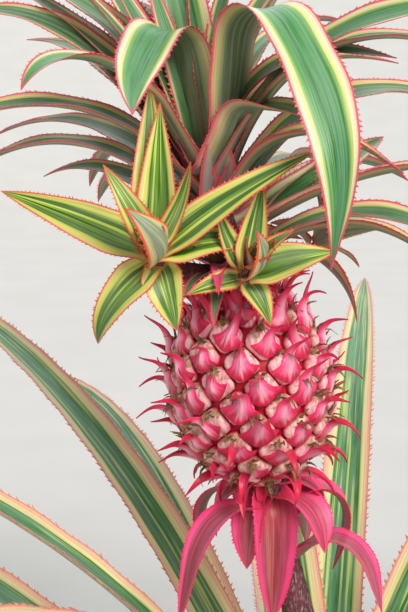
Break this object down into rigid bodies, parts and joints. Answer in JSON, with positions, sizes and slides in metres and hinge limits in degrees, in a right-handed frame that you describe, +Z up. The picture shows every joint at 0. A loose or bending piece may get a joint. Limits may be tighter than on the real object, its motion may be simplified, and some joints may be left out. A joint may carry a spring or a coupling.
{
  "type": "pineapple plant",
  "caption": "Rooted pineapple plant: rosette of long thorny striped leaves, stalk, red fruit with leafy crown and slips.",
  "frame": {"origin": "middle of the flat cut under the stem, at ground level", "axes": "+Z up, -Y towards the side that the picture shows"},
  "size_m": [1.5171, 1.5399, 0.8443],
  "materials": {
    "stem_bark": "rough leaf bases",
    "stalk_skin": "matt, with pale scurf",
    "fruit_skin": "satin, fleshy",
    "rosette_blade": "satin leaf",
    "crown_blade": "satin leaf",
    "slip_blade": "satin leaf",
    "collar_blade": "satin leaf"
  },
  "bodies": {
    "root": {"stem": "stem_bark", "fruit_stalk": "stalk_skin", "fruit": "fruit_skin", "crown_heart": "crown_blade", "rosette_leaf_01": "rosette_blade", "rosette_leaf_02": "rosette_blade", "rosette_leaf_03": "rosette_blade", "rosette_leaf_04": "rosette_blade", "rosette_leaf_05": "rosette_blade", "rosette_leaf_06": "rosette_blade", "rosette_leaf_07": "rosette_blade", "rosette_leaf_08": "rosette_blade", "rosette_leaf_09": "rosette_blade", "rosette_leaf_10": "rosette_blade", "rosette_leaf_11": "rosette_blade", "rosette_leaf_12": "rosette_blade", "rosette_leaf_13": "rosette_blade", "rosette_leaf_14": "rosette_blade", "rosette_leaf_15": "rosette_blade", "rosette_leaf_16": "rosette_blade", "rosette_leaf_17": "rosette_blade", "rosette_leaf_18": "rosette_blade", "rosette_leaf_19": "rosette_blade", "rosette_leaf_20": "rosette_blade", "rosette_leaf_21": "rosette_blade", "rosette_leaf_22": "rosette_blade", "rosette_leaf_23": "rosette_blade", "rosette_leaf_24": "rosette_blade", "rosette_leaf_25": "rosette_blade", "rosette_leaf_26": "rosette_blade", "collar_leaf_01": "collar_blade", "collar_leaf_02": "collar_blade", "collar_leaf_03": "collar_blade", "collar_leaf_04": "collar_blade", "collar_leaf_05": "collar_blade", "collar_leaf_06": "collar_blade", "collar_leaf_07": "collar_blade", "collar_leaf_08": "collar_blade", "collar_leaf_09": "collar_blade", "collar_leaf_10": "collar_blade", "collar_leaf_11": "collar_blade", "collar_leaf_12": "collar_blade", "crown_leaf_01": "crown_blade", "crown_leaf_02": "crown_blade", "crown_leaf_03": "crown_blade", "crown_leaf_04": "crown_blade", "crown_leaf_05": "crown_blade", "crown_leaf_06": "crown_blade", "crown_leaf_07": "crown_blade", "crown_leaf_08": "crown_blade", "crown_leaf_09": "crown_blade", "crown_leaf_10": "crown_blade", "crown_leaf_11": "crown_blade", "crown_leaf_12": "crown_blade", "crown_leaf_13": "crown_blade", "crown_leaf_14": "crown_blade", "slip_left": "slip_blade", "slip_right": "slip_blade", "slip_back_right": "slip_blade", "slip_back_left": "slip_blade"}
  },
  "joints": []
}
